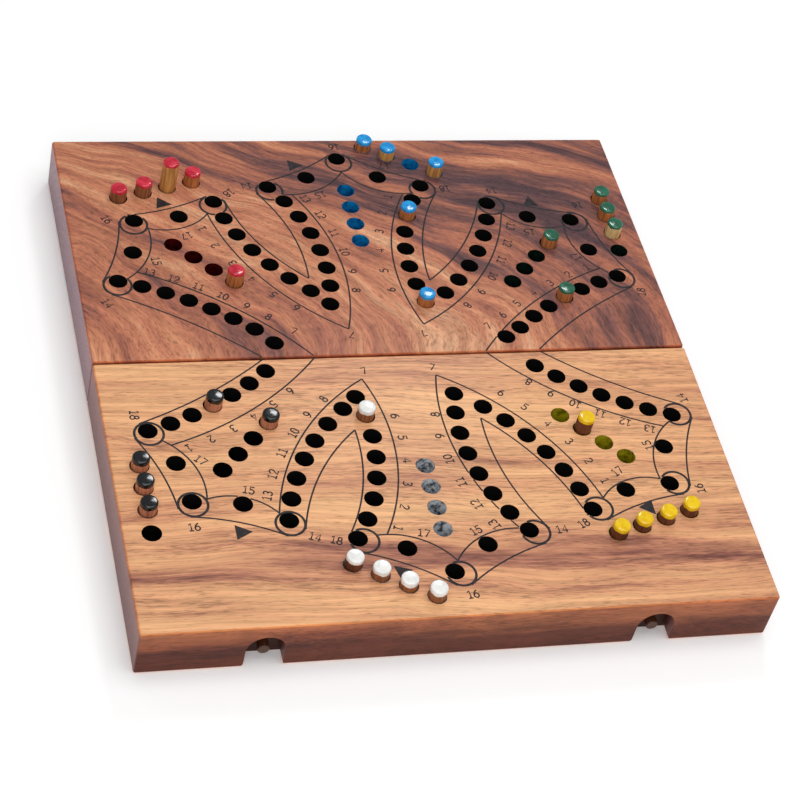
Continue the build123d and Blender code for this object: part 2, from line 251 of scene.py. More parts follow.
def add(tree, kind, inputs=None, stops=None, **settings):
    """Adds a node with its settings. An input is a value or another node's output."""
    made = tree.nodes.new(kind)
    for name, value in settings.items():
        setattr(made, name, value)
    for name, value in (inputs or {}).items():
        if isinstance(value, bpy.types.NodeSocket):
            tree.links.new(value, made.inputs[name])
        else:
            made.inputs[name].default_value = value
    for index, (place, colour) in enumerate(stops or []):
        ramp = made.color_ramp.elements
        stop = ramp[index] if index < len(ramp) else ramp.new(place)
        stop.position = place
        stop.color = srgb(colour)
    return made


def new_material(name):
    """An empty node material with its shader: (material, tree, shader)."""
    made = bpy.data.materials.new(name)
    made.use_nodes = True
    tree = made.node_tree
    return made, tree, tree.nodes["Principled BSDF"]


def deselect():
    """Leave nothing selected."""
    bpy.ops.object.select_all(action="DESELECT")


def only(piece):
    """Make one piece the selected and active one."""
    deselect()
    piece.select_set(True)
    bpy.context.view_layer.objects.active = piece


def select_faces(piece, wanted):
    """In edit mode, select the faces for which wanted(face) is true."""
    bpy.ops.object.mode_set(mode="EDIT")
    bpy.ops.mesh.select_mode(type="FACE")
    bpy.ops.mesh.select_all(action="DESELECT")
    bpy.ops.object.mode_set(mode="OBJECT")
    for face in piece.data.polygons:
        face.select = wanted(face)
    bpy.ops.object.mode_set(mode="EDIT")


def place(piece, matrix):
    """Move a finished mesh to its place, leaving its object at the origin."""
    piece.data.transform(piece.matrix_world)
    piece.matrix_world = Matrix.Identity(4)
    piece.data.transform(matrix)
    piece.data.update()


def copy_of(piece, name, matrix):
    """Another of a piece, with its own mesh, moved by matrix."""
    made = piece.copy()
    made.data = piece.data.copy()
    made.name = name
    made.data.name = name
    bpy.context.scene.collection.objects.link(made)
    made.data.transform(matrix)
    return made


def joined(pieces, name):
    """Several meshes as one piece."""
    deselect()
    for piece in pieces:
        piece.select_set(True)
    bpy.context.view_layer.objects.active = pieces[0]
    bpy.ops.object.join()
    made = bpy.context.view_layer.objects.active
    made.name = name
    made.data.name = name
    return made


def finish_piece(piece, body, material, smooth_below=35):
    """Smooth a piece, give it its finish and let it ride on its body."""
    only(piece)
    bpy.ops.object.shade_smooth_by_angle(angle=radians(smooth_below))
    piece.data.materials.clear()
    piece.data.materials.append(material)
    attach(piece, body)
    return piece


# ---- the frame: how each half rests, and where its holes are ------------------------

FOLD = next(joint for joint in frame["joints"] if joint["name"] == "board_fold")


def resting_place(half):
    """How a half modelled flat, with the hinge axis through the origin, comes to rest."""
    board = nodes[half + "_board"].data
    upward = Vector((0, 0, 0))
    for face in board.polygons:
        if face.normal.z > 0.999:
            upward += face.normal * face.area
    slope = atan2(-upward.y, upward.z)
    return Matrix.Translation((0, 0, FOLD["pos_m"][2])) @ Matrix.Rotation(slope, 4, "X")


REST = {half: resting_place(half) for half in ("rear", "front")}


def find_holes(half):
    """(the flat board's top, the middle of each hole's floor), in metres."""
    board = nodes[half + "_board"].data
    back = REST[half].inverted()
    points = [back @ vertex.co for vertex in board.vertices]
    top = max(point.z for point in points)
    floors = []
    for face in board.polygons:
        corners = [points[index] for index in face.vertices]
        if max(abs(corner.z - (top - HOLE_DEPTH)) for corner in corners) > FLOOR_PLAY:
            continue
        floor = {(round(corner.x / MM, 2), round(corner.y / MM, 2)) for corner in corners}
        for other in [other for other in floors if other & floor]:
            floor |= other
            floors.remove(other)
        floors.append(floor)
    middles = []
    for floor in floors:
        xs, ys = zip(*floor)
        middles.append(Vector((min(xs) + max(xs), min(ys) + max(ys))) / 2 * MM)
    return top, middles


HOLES = {}
TOP = {}
for side in ("rear", "front"):
    TOP[side], HOLES[side] = find_holes(side)


# ---- the ideal pattern, in millimetres ----------------------------------------------

def arc_between(start, end, rise, step=INK_STEP):
    """Points from start to end on an arc that bulges by rise to the left of the way."""
    start, end = Vector(start), Vector(end)
    chord = end - start
    if abs(rise) < 0.01:
        count = max(2, int(chord.length / step))
        return [start + chord * (i / count) for i in range(count + 1)]
    forward = chord.normalized()
    left = Vector((-forward.y, forward.x)) * (1 if rise > 0 else -1)
    radius = (chord.length ** 2 / 4 + rise ** 2) / (2 * abs(rise))
    half_turn = asin(min(1.0, chord.length / 2 / radius))
    centre = start + chord / 2 + left * (abs(rise) - radius)
    count = max(2, int(2 * half_turn * radius / step))
    turns = [half_turn * (2 * i / count - 1) for i in range(count + 1)]
    return [centre + forward * (radius * sin(t)) + left * (radius * cos(t)) for t in turns]


def lane_points(start, end, rise):
    """The eight holes of a lane, its ends included."""
    fine = arc_between(start, end, rise, step=0.05)
    gaps = LANE_HOLES - 1
    return [fine[round(i * (len(fine) - 1) / gaps)] for i in range(LANE_HOLES)]


def ideal_track():
    """Every track hole of the ideal pattern: (player, number): point."""
    star = lane_points(STAR_CORNER, INNER_TIP, STAR_LANE_RISE)
    wing = lane_points(WING_CORNER, INNER_TIP, WING_LANE_RISE)
    seam = lane_points(WING_END, SEAM_TIP, SEAM_LANE_RISE)
    rim = [WING_CORNER, WING_SHOULDER, WING_POINT, WING_SIDE, WING_END]
    rear = [STAR_SHOULDER, *star, *wing[-2:0:-1], *rim, *seam[1:-1]]
    order = [*rear, SEAM_TIP, *[(x, -y) for x, y in rear[::-1]]]
    names = [("blue", n) for n in (17, 18, 1, 2, 3, 4, 5, 6, 7)]
    names += [("green", n) for n in (*range(8, 19), *range(1, 8))]
    names += [("yellow", n) for n in (*range(8, 19), *range(1, 8))]
    names += [("white", n) for n in range(8, 16)]
    track = {name: Vector(point) for name, point in zip(names, order)}
    track["blue", 16] = Vector(STAR_POINT)
    partner = {**OPPOSITE, "white": "blue"}
    for (player, number), point in list(track.items()):
        track[partner[player], number] = -point
    return track


TRACK = ideal_track()
HEARTS = {
    "blue": Vector(STAR_HEART),
    "white": -Vector(STAR_HEART),
    "green": Vector(WING_HEART),
    "black": -Vector(WING_HEART),
    "yellow": Vector((WING_HEART[0], -WING_HEART[1])),
    "red": Vector((-WING_HEART[0], WING_HEART[1])),
}


def printed(player, number):
    """Where the print puts a hole's centre."""
    return TRACK[player, number] + Vector(PRINT_SHIFT[player])


def printed_heart(player):
    """The point inside an arm that its lines bulge towards."""
    return HEARTS[player] + Vector(PRINT_SHIFT[player])


# ---- ink ----------------------------------------------------------------------------

def clear_runs(points, half):
    """The stretches of a line, in millimetres, that aren't over a hole, in metres."""
    runs = [[]]
    for point in points:
        there = Vector((point[0], point[1])) * MM
        beyond_seam = (there.y < 0) if half == "rear" else (there.y > 0)
        over_hole = any((there - hole).length < HOLE_RADIUS for hole in HOLES[half])
        if over_hole or beyond_seam:
            runs.append([])
        else:
            runs[-1].append(there)
    return [run for run in runs if len(run) > 1]


def ink(name, half, lines, width):
    """Lines of ink on a half's top face, flattened from round strokes."""
    curve = bpy.data.curves.new(name, "CURVE")
    curve.dimensions = "3D"
    curve.bevel_depth = width / 2
    curve.bevel_resolution = 1
    curve.use_fill_caps = True
    for line in lines:
        for run in clear_runs(line, half):
            spline = curve.splines.new("POLY")
            spline.points.add(len(run) - 1)
            for point, there in zip(spline.points, run):
                point.co = (there.x, there.y, 0, 1)
    piece = bpy.data.objects.new(name, curve)
    bpy.context.scene.collection.objects.link(piece)
    only(piece)
    bpy.ops.object.convert(target="MESH")
    piece = bpy.context.view_layer.objects.active
    only(piece)
    bpy.ops.object.mode_set(mode="EDIT")
    bpy.ops.mesh.select_all(action="SELECT")
    bpy.ops.mesh.remove_doubles(threshold=INK_WELD)
    bpy.ops.mesh.normals_make_consistent(inside=False)
    bpy.ops.object.mode_set(mode="OBJECT")
    flatten = Matrix.Diagonal((1, 1, INK_FLATNESS, 1))
    lift = Matrix.Translation((0, 0, TOP[half] + INK_LIFT))
    place(piece, REST[half] @ lift @ flatten)
    return finish_piece(piece, half + "_board", INK)


def ring_corner(player, number):
    """Where the inside lines meet the ring round a hole."""
    centre = printed(player, number)
    return centre + (printed_heart(player) - centre).normalized() * RING_EDGE


def toward(player, start, end, rise):
    """rise, signed so that a line from start to end bulges towards its arm's heart."""
    way = end - start
    heart = printed_heart(player) - (start + end) / 2
    return rise if way.cross(heart) > 0 else -rise


def inner_band(player, number):
    """The inside line of the band from one of an arm's outer rings to its middle ring."""
    ends = (ring_corner(player, number), ring_corner(player, 16))
    return arc_between(*ends, toward(player, *ends, BAND_INSIDE_RISE))


def band_lines(player):
    """The four lines that join an arm's three rings."""
    lines = []
    for number in (14, 18):
        middle, end = printed(player, 16), printed(player, number)
        out = Vector((-(end - middle).y, (end - middle).x)).normalized()
        if out.dot(printed_heart(player) - middle) > 0:
            out = -out
        outer = (middle + out * RING_EDGE, end + out * RING_EDGE)
        lines.append(arc_between(*outer, toward(player, *outer, BAND_OUTSIDE_RISE)))
        lines.append(inner_band(player, number))
    return lines


def lane_lines(lane):
    """The two lines beside a lane, which run to the points of its V."""
    player, ring, beside, tip, kind, leave = lane
    near, far = (Vector(point) for point in TIPS[tip])
    if kind == "seam":
        near.y = far.y = SEAM_CLEARANCE * (1 if HALF_OF[player] == "rear" else -1)
    centre = printed(player, ring)
    along = (printed(player, beside) - centre).normalized()
    away = Vector((-along.y, along.x))
    if away.dot(printed_heart(player) - centre) > 0:
        away = -away
    inside = (inner_band(player, ring)[round(leave / INK_STEP)], near)
    outside = (centre + away * RING_EDGE, far)
    return [
        arc_between(*inside, toward(player, *inside, INSIDE_RISE[kind])),
        arc_between(*outside, toward(player, *outside, OUTSIDE_RISE[kind])),
    ]


def ring_line(player, number):
    """The ring round one of an arm's three corner holes."""
    centre = printed(player, number)
    turns = [2 * pi * i / RING_SIDES for i in range(RING_SIDES + 1)]
    return [centre + Vector((cos(t), sin(t))) * RING_RADIUS for t in turns]


def bow(x, y, wide, high, start, stop):
    """Part of an ellipse, for a digit, from start to stop in degrees."""
    count = max(4, int(abs(stop - start) / DIGIT_TURN))
    turns = [radians(start + (stop - start) * i / count) for i in range(count + 1)]
    return [(x + wide * cos(t), y + high * sin(t)) for t in turns]


SIX = [bow(0.3, 0.3, 0.27, 0.3, 0, 360), bow(0.78, 0.3, 0.75, 0.78, 180, 116)]
DIGITS = {
    "0": [bow(0.3, 0.5, 0.27, 0.5, 0, 360)],
    "1": [[(0.08, 0.8), (0.32, 1), (0.32, 0)], [(0.06, 0), (0.58, 0)]],
    "2": [bow(0.3, 0.72, 0.26, 0.28, 170, -40) + [(0.04, 0), (0.6, 0)]],
    "3": [bow(0.28, 0.76, 0.24, 0.24, 150, -90), bow(0.28, 0.27, 0.29, 0.27, 90, -150)],
    "4": [[(0.46, 0), (0.46, 1), (0.02, 0.3), (0.64, 0.3)]],
    "5": [[(0.56, 1), (0.12, 1), (0.1, 0.58)] + bow(0.28, 0.32, 0.3, 0.32, 120, -150)],
    "6": SIX,
    "7": [[(0.04, 1), (0.6, 1), (0.24, 0)]],
    "8": [bow(0.3, 0.76, 0.21, 0.24, 0, 360), bow(0.3, 0.27, 0.28, 0.27, 0, 360)],
    "9": [[(0.6 - x, 1 - y) for x, y in stroke] for stroke in SIX],
}


def number_lines(text, middle, turn):
    """The strokes of a number, centred on middle and turned by turn degrees."""
    spin = Matrix.Rotation(radians(turn), 2)
    lines = []
    for index, digit in enumerate(text):
        shift = NUMBER_STEP * (index - (len(text) - 1) / 2) - DIGIT_MIDDLE * NUMBER_HEIGHT
        for stroke in DIGITS[digit]:
            points = []
            for x, y in stroke:
                here = Vector((shift + x * NUMBER_HEIGHT, (y - 0.5) * NUMBER_HEIGHT))
                points.append(Vector(middle) + spin @ here)
            lines.append(points)
    return lines


def lane_number_lines(player):
    """Numbers 1 to 6 and 8 to 13, on the arm's side of its lanes, heads away from them."""
    lines = []
    for first, last, off in ((1, 6, NUMBER_OFF[player][0]), (8, 13, NUMBER_OFF[player][1])):
        for number in range(first, last + 1):
            before = printed(player, max(first, number - 1))
            after = printed(player, min(last, number + 1))
            along = (after - before).normalized()
            head = Vector((-along.y, along.x))
            here = printed(player, number)
            if head.dot(printed_heart(player) - here) < 0:
                head = -head
            turn = degrees(atan2(head.y, head.x)) - 90
            lines += number_lines(str(number), here + head * off, turn)
    return lines


def rim_number_lines(player):
    """Numbers 14 to 18, round the outer end of an arm."""
    lines = []
    for number in range(14, 19):
        x, y, turn = RIM_NUMBERS[player, number]
        lines += number_lines(str(number), printed(player, number) + Vector((x, y)), turn)
    return lines


def make_mark(name, half, x, y, turn):
    """A small solid triangle that shows the way of play."""
    deselect()
    bpy.ops.mesh.primitive_circle_add(
        vertices=3, radius=MARK_BASE * MM / 3 ** 0.5, fill_type="NGON", rotation=(0, 0, pi / 6)
    )
    piece = bpy.context.active_object
    piece.name = name
    only(piece)
    bpy.ops.object.transform_apply(location=False, rotation=True, scale=False)
    bpy.ops.object.mode_set(mode="EDIT")
    bpy.ops.mesh.select_all(action="SELECT")
    bpy.ops.mesh.bevel(offset=MARK_ROUND, segments=2, affect="VERTICES")
    bpy.ops.mesh.extrude_region_move(TRANSFORM_OT_translate={"value": (0, 0, INK_LIFT)})
    bpy.ops.mesh.select_all(action="SELECT")
    bpy.ops.mesh.normals_make_consistent(inside=False)
    bpy.ops.object.mode_set(mode="OBJECT")
    point = max(piece.data.vertices, key=lambda vertex: vertex.co.xy.length).co
    start = atan2(point.y, point.x)
    spin = Matrix.Rotation(radians(turn) - start, 4, "Z")
    stretch = Matrix.Diagonal((MARK_LENGTH / (MARK_BASE * 3 ** 0.5 / 2), 1, 1, 1))
    turned = Matrix.Rotation(radians(turn), 4, "Z") @ stretch
    turned = turned @ Matrix.Rotation(-radians(turn), 4, "Z")
    there = Matrix.Translation((x * MM, y * MM, TOP[half] + INK_LIFT / 2))
    place(piece, REST[half] @ there @ turned @ spin)
    return piece


def print_half(half):
    """All the ink on one half: lines, rings, numbers and direction marks."""
    lines = []
    rings = []
    numbers = []
    for player in PLAYERS_ON[half]:
        lines += band_lines(player)
        rings += [ring_line(player, number) for number in CORNERS]
        numbers += lane_number_lines(player) + rim_number_lines(player)
    for lane in LANES:
        if lane[0] in PLAYERS_ON[half]:
            lines += lane_lines(lane)
    for x, y, turn in SEVENS:
        if (y > 0) == (half == "rear"):
            numbers += number_lines("7", (x, y), turn)
    ink(half + "_lane_lines", half, lines, LINE_WIDTH)
    ink(half + "_corner_rings", half, rings, RING_WIDTH)
    ink(half + "_numbers", half, numbers, NUMBER_WIDTH)
    marks = [
        make_mark("mark", half, x, y, turn)
        for x, y, turn in MARKS if (y > 0) == (half == "rear")
    ]
    marks = joined(marks, half + "_direction_marks")
    finish_piece(marks, half + "_board", INK)


# ---- hole linings -------------------------------------------------------------------

def make_liner():
    """The film of stain or paint inside one hole, its mouth at the origin; in the track holes
    its near-black is partly painted shade.
    """
    deselect()
    depth = HOLE_DEPTH - 2 * LINER_WALL
    bpy.ops.mesh.primitive_cylinder_add(
        vertices=LINER_SIDES, radius=LINER_RADIUS, depth=depth, location=(0, 0, -depth / 2)
    )
    piece = bpy.context.active_object
    only(piece)
    bpy.ops.object.transform_apply(location=True)
    select_faces(piece, lambda face: face.normal.z > 0.9)
    bpy.ops.mesh.delete(type="ONLY_FACE")
    bpy.ops.object.mode_set(mode="OBJECT")
    wall = piece.modifiers.new("wall", "SOLIDIFY")
    wall.thickness = LINER_WALL
    wall.offset = -1
    bpy.ops.object.modifier_apply(modifier="wall")
    return piece


def line_holes():
    """Black stain in the track holes, made blacker still as painted shade of their depth, and
    each player's paint in their own holes.
    """
    template = make_liner()
    groups = {}
    track = [(point + Vector(DRILLED_CENTRE)) * MM for point in TRACK.values()]
    for half in ("rear", "front"):
        for hole in HOLES[half]:
            if min((hole - point).length for point in track) < TRACK_REACH:
                owner = "track"
            else:
                owner = min(PLAYERS_ON[half], key=lambda name: (hole - HEARTS[name] * MM).length)
            there = Matrix.Translation((hole.x, hole.y, TOP[half] - LINER_SINK))
            liner = copy_of(template, "liner", REST[half] @ there)
            groups.setdefault((half, owner), []).append(liner)
    bpy.data.objects.remove(template)
    for (half, owner), liners in groups.items():
        name = f"{half}_track_hole_stain_and_painted_shade" if owner == "track" else f"{owner}_hole_paint"
        liners = joined(liners, name)
        finish_piece(liners, half + "_board", HOLE_FINISH[owner])


# ---- pegs ---------------------------------------------------------------------------

def make_peg(length):
    """A turned peg, tip at the origin, pointing up: crowned cap, eased foot."""
    deselect()
    bpy.ops.mesh.primitive_cylinder_add(
        vertices=PEG_SIDES, radius=PEG_RADIUS, depth=length, location=(0, 0, -length / 2)
    )
    piece = bpy.context.active_object
    only(piece)
    bpy.ops.object.transform_apply(location=True)
    select_faces(piece, lambda face: face.normal.z < -0.9)
    bpy.ops.mesh.bevel(offset=FOOT_CHAMFER, segments=1, affect="EDGES")
    bpy.ops.object.mode_set(mode="OBJECT")
    select_faces(piece, lambda face: face.normal.z > 0.9)
    bpy.ops.mesh.bevel(offset=CAP_ROUND, segments=5, affect="EDGES")
    bpy.ops.object.mode_set(mode="OBJECT")
    select_faces(piece, lambda face: face.normal.z > 0.999)
    for share in CAP_STEPS:
        bpy.ops.mesh.inset(thickness=(PEG_RADIUS - CAP_ROUND) * share)
        bpy.ops.transform.translate(value=(0, 0, CAP_CROWN * share))
    bpy.ops.object.mode_set(mode="OBJECT")
    depth = piece.data.attributes.new("tip_depth", "FLOAT", "POINT")
    depth.data.foreach_set("value", [-v.co.z / MM for v in piece.data.vertices])
    return piece


def place_pegs():
    """One peg for each CAD peg, at its lean, with its own wood and paint."""
    templates = {}
    for joint in frame["joints"]:
        if not joint["name"].endswith("_pull"):
            continue
        node = joint["child"]
        low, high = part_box(node)
        up = Vector(joint["axis"]).normalized()
        flat = hypot(up.x, up.y)
        length = ((high - low).z - 2 * PEG_RADIUS * flat + 2 * CAP_ROUND * flat) / up.z
        length = round(length / PEG_LENGTH_STEP) * PEG_LENGTH_STEP
        if length not in templates:
            templates[length] = make_peg(length)
        tip = (low + high) / 2 + up * (length / 2)
        turn = Vector((0, 0, 1)).rotation_difference(up).to_matrix().to_4x4()
        peg = copy_of(templates[length], node + "_turned", Matrix.Translation(tip) @ turn)
        player = node.split("_")[0]
        wood, cap = PEG_LOOKS.get(node, PEG_LOOKS[player])
        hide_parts(node)
        finish_piece(peg, node, peg_finish(player, wood, cap), 50)
    for template in templates.values():
        bpy.data.objects.remove(template)


# ---- materials ----------------------------------------------------------------------

def in_millimetres(tree):
    """Object coordinates in millimetres."""
    where = add(tree, "ShaderNodeTexCoord")
    return add(tree, "ShaderNodeMapping", {
        "Vector": where.outputs["Object"], "Scale": (1 / MM, 1 / MM, 1 / MM),
    }).outputs["Vector"]


def figure(tree, where, size, detail, roughness=0.5):
    """Noise with features of size millimetres along each axis: the figure of a material."""
    drawn = add(tree, "ShaderNodeVectorMath", {
        0: where, 1: [1 / length for length in size]}, operation="MULTIPLY")
    return add(tree, "ShaderNodeTexNoise", {
        "Vector": drawn.outputs[0], "Scale": 1.0, "Detail": detail, "Roughness": roughness})


def rear_acacia():
    """Lacquered acacia, flat-sawn: growth bands in long arches that run down to the right
    and turn in to the seam, orange-tan to purple-brown, with short dark pore flecks."""
    made, tree, shader = new_material("acacia_figured_satin_lacquer")
    where = in_millimetres(tree)
    # Slow wander of the growth bands, by up to 20 mm over 90 mm
    wander = add(tree, "ShaderNodeTexNoise", {"Vector": where, "Scale": 1 / 90, "Detail": 2.0})
    centred = add(tree, "ShaderNodeVectorMath", {
        0: wander.outputs["Color"], 1: (0.5, 0.5, 0.5)}, operation="SUBTRACT")
    pushed = add(tree, "ShaderNodeVectorMath", {
        0: centred.outputs[0], 1: (44, 44, 20), 2: where}, operation="MULTIPLY_ADD")
    split = add(tree, "ShaderNodeSeparateXYZ", {"Vector": pushed.outputs[0]})
    # Across the bands: arches, steep near the seam and flatter towards the far edge
    square = add(tree, "ShaderNodeMath", {
        0: split.outputs["Y"], 1: split.outputs["Y"]}, operation="MULTIPLY")
    arch = add(tree, "ShaderNodeMath", {
        0: square.outputs[0], 1: 1 / ARCH_WIDTH}, operation="MULTIPLY")
    leaning = add(tree, "ShaderNodeMath", {
        0: split.outputs["X"], 1: BAND_LEAN, 2: arch.outputs[0]}, operation="MULTIPLY_ADD")
    across = add(tree, "ShaderNodeMath", {
        0: split.outputs["Z"], 1: BAND_DEPTH_LEAN, 2: leaning.outputs[0]},
        operation="MULTIPLY_ADD")
    # Along the bands: down to the right
    along = add(tree, "ShaderNodeMath", {
        0: split.outputs["Y"], 1: BAND_FALL, 2: split.outputs["X"]}, operation="MULTIPLY_ADD")
    grain = add(tree, "ShaderNodeCombineXYZ", {
        "X": across.outputs[0], "Y": along.outputs[0], "Z": split.outputs["Z"]})
    # Broad bands, 15 mm wide and 150 mm long, a little darker towards the far right corner
    broad = figure(tree, grain.outputs[0], (15, 150, 60), 6.0, 0.68)
    fall = add(tree, "ShaderNodeMath", {
        0: split.outputs["Y"], 1: -0.0005, 2: broad.outputs["Fac"]}, operation="MULTIPLY_ADD")
    fall = add(tree, "ShaderNodeMath", {
        0: split.outputs["X"], 1: -0.0002, 2: fall.outputs[0]}, operation="MULTIPLY_ADD")
    colour = add(tree, "ShaderNodeValToRGB", {"Fac": fall.outputs[0]}, stops=[
        (0.31, "#51363a"), (0.385, "#7d4f48"), (0.45, "#aa6750"), (0.54, "#c7815f"),
        (0.64, "#dba27c")])
    # Rings within the bands, about 2 mm apart
    rings = figure(tree, grain.outputs[0], (2.0, 50, 12), 3.0, 0.6)
    ring_tone = add(tree, "ShaderNodeMapRange", {
        "Value": rings.outputs["Fac"], "From Min": 0.36, "From Max": 0.64,
        "To Min": 0.80, "To Max": 1.14})
    # Pore flecks, 3 mm long and 0.5 mm wide
    flecks = figure(tree, grain.outputs[0], (0.5, 3.2, 0.5), 2.0, 0.6)
    fleck_tone = add(tree, "ShaderNodeMapRange", {
        "Value": flecks.outputs["Fac"], "From Min": 0.32, "From Max": 0.52,
        "To Min": 0.66, "To Max": 1.06})
    tone = add(tree, "ShaderNodeMath", {
        0: ring_tone.outputs[0], 1: fleck_tone.outputs[0]}, operation="MULTIPLY")
    toned = add(tree, "ShaderNodeVectorMath", {
        0: colour.outputs["Color"], 1: tone.outputs[0]}, operation="MULTIPLY")
    # End faces grey-mauve: end grain, and partly a painted sheen
    edge = edge_shade(tree, toned.outputs[0], where, "#a8848f")
    tree.links.new(edge, shader.inputs["Base Color"])
    lacquer(tree, shader, flecks.outputs["Fac"])
    return made


def front_acacia():
    """The same timber cut straight: orange-tan with fine grain and short dark pore marks
    along the board, and streaks of purple-brown heartwood near the outer edge."""
    made, tree, shader = new_material("acacia_straight_satin_lacquer")
    where = in_millimetres(tree)
    # The grain runs along X, falling a little to the right and wandering by a few mm
    drift = figure(tree, where, (120, 50, 50), 2.0)
    split = add(tree, "ShaderNodeSeparateXYZ", {"Vector": where})
    across = add(tree, "ShaderNodeMath", {
        0: split.outputs["X"], 1: GRAIN_FALL, 2: split.outputs["Y"]},
        operation="MULTIPLY_ADD")
    across = add(tree, "ShaderNodeMath", {
        0: drift.outputs["Fac"], 1: GRAIN_WANDER, 2: across.outputs[0]},
        operation="MULTIPLY_ADD")
    grain = add(tree, "ShaderNodeCombineXYZ", {
        "X": split.outputs["X"], "Y": across.outputs[0], "Z": split.outputs["Z"]})
    # Broad streaks, 13 mm wide and 150 mm long
    broad = figure(tree, grain.outputs[0], (150, 13, 20), 6.0, 0.68)
    # Heartwood: a soft-edged band about 33 mm wide, its middle about 124 mm from the seam
    heart = add(tree, "ShaderNodeMapRange", {
        "Value": across.outputs[0], "From Min": HEARTWOOD[0], "From Max": HEARTWOOD[1],
        "To Min": -1.0, "To Max": 1.0}, clamp=False)
    square = add(tree, "ShaderNodeMath", {
        0: heart.outputs[0], 1: heart.outputs[0]}, operation="MULTIPLY")
    band = add(tree, "ShaderNodeMapRange", {
        "Value": square.outputs[0], "From Min": 0.0, "From Max": 1.4,
        "To Min": -0.12, "To Max": 0.0}, interpolation_type="SMOOTHSTEP")
    level = add(tree, "ShaderNodeMath", {
        0: broad.outputs["Fac"], 1: band.outputs[0]}, operation="ADD")
    colour = add(tree, "ShaderNodeValToRGB", {"Fac": level.outputs[0]}, stops=[
        (0.24, "#8c5549"), (0.33, "#c18264"), (0.42, "#e0a176"), (0.62, "#f2b884")])
    # Growth rings about 1.3 mm apart
    rings = figure(tree, grain.outputs[0], (60, 1.3, 6), 3.0, 0.6)
    ring_tone = add(tree, "ShaderNodeMapRange", {
        "Value": rings.outputs["Fac"], "From Min": 0.36, "From Max": 0.64,
        "To Min": 0.78, "To Max": 1.10})
    # Pore marks: dashes 6 mm long and 0.5 mm wide, thick in some patches and thin in others
    pores = figure(tree, grain.outputs[0], (6, 0.5, 0.5), 2.0)
    patch = figure(tree, grain.outputs[0], (75, 6.5, 10), 2.0)
    mark = add(tree, "ShaderNodeMath", {
        0: patch.outputs["Fac"], 1: 0.35, 2: pores.outputs["Fac"]}, operation="MULTIPLY_ADD")
    pore_tone = add(tree, "ShaderNodeMapRange", {
        "Value": mark.outputs[0], "From Min": 0.50, "From Max": 0.64,
        "To Min": 0.62, "To Max": 1.03})
    tone = add(tree, "ShaderNodeMath", {
        0: ring_tone.outputs[0], 1: pore_tone.outputs[0]}, operation="MULTIPLY")
    toned = add(tree, "ShaderNodeVectorMath", {
        0: colour.outputs["Color"], 1: tone.outputs[0]}, operation="MULTIPLY")
    # End faces grey-mauve: end grain, and partly a painted sheen
    edge = edge_shade(tree, toned.outputs[0], where, "#8f6363")
    tree.links.new(edge, shader.inputs["Base Color"])
    lacquer(tree, shader, pores.outputs["Fac"])
    return made


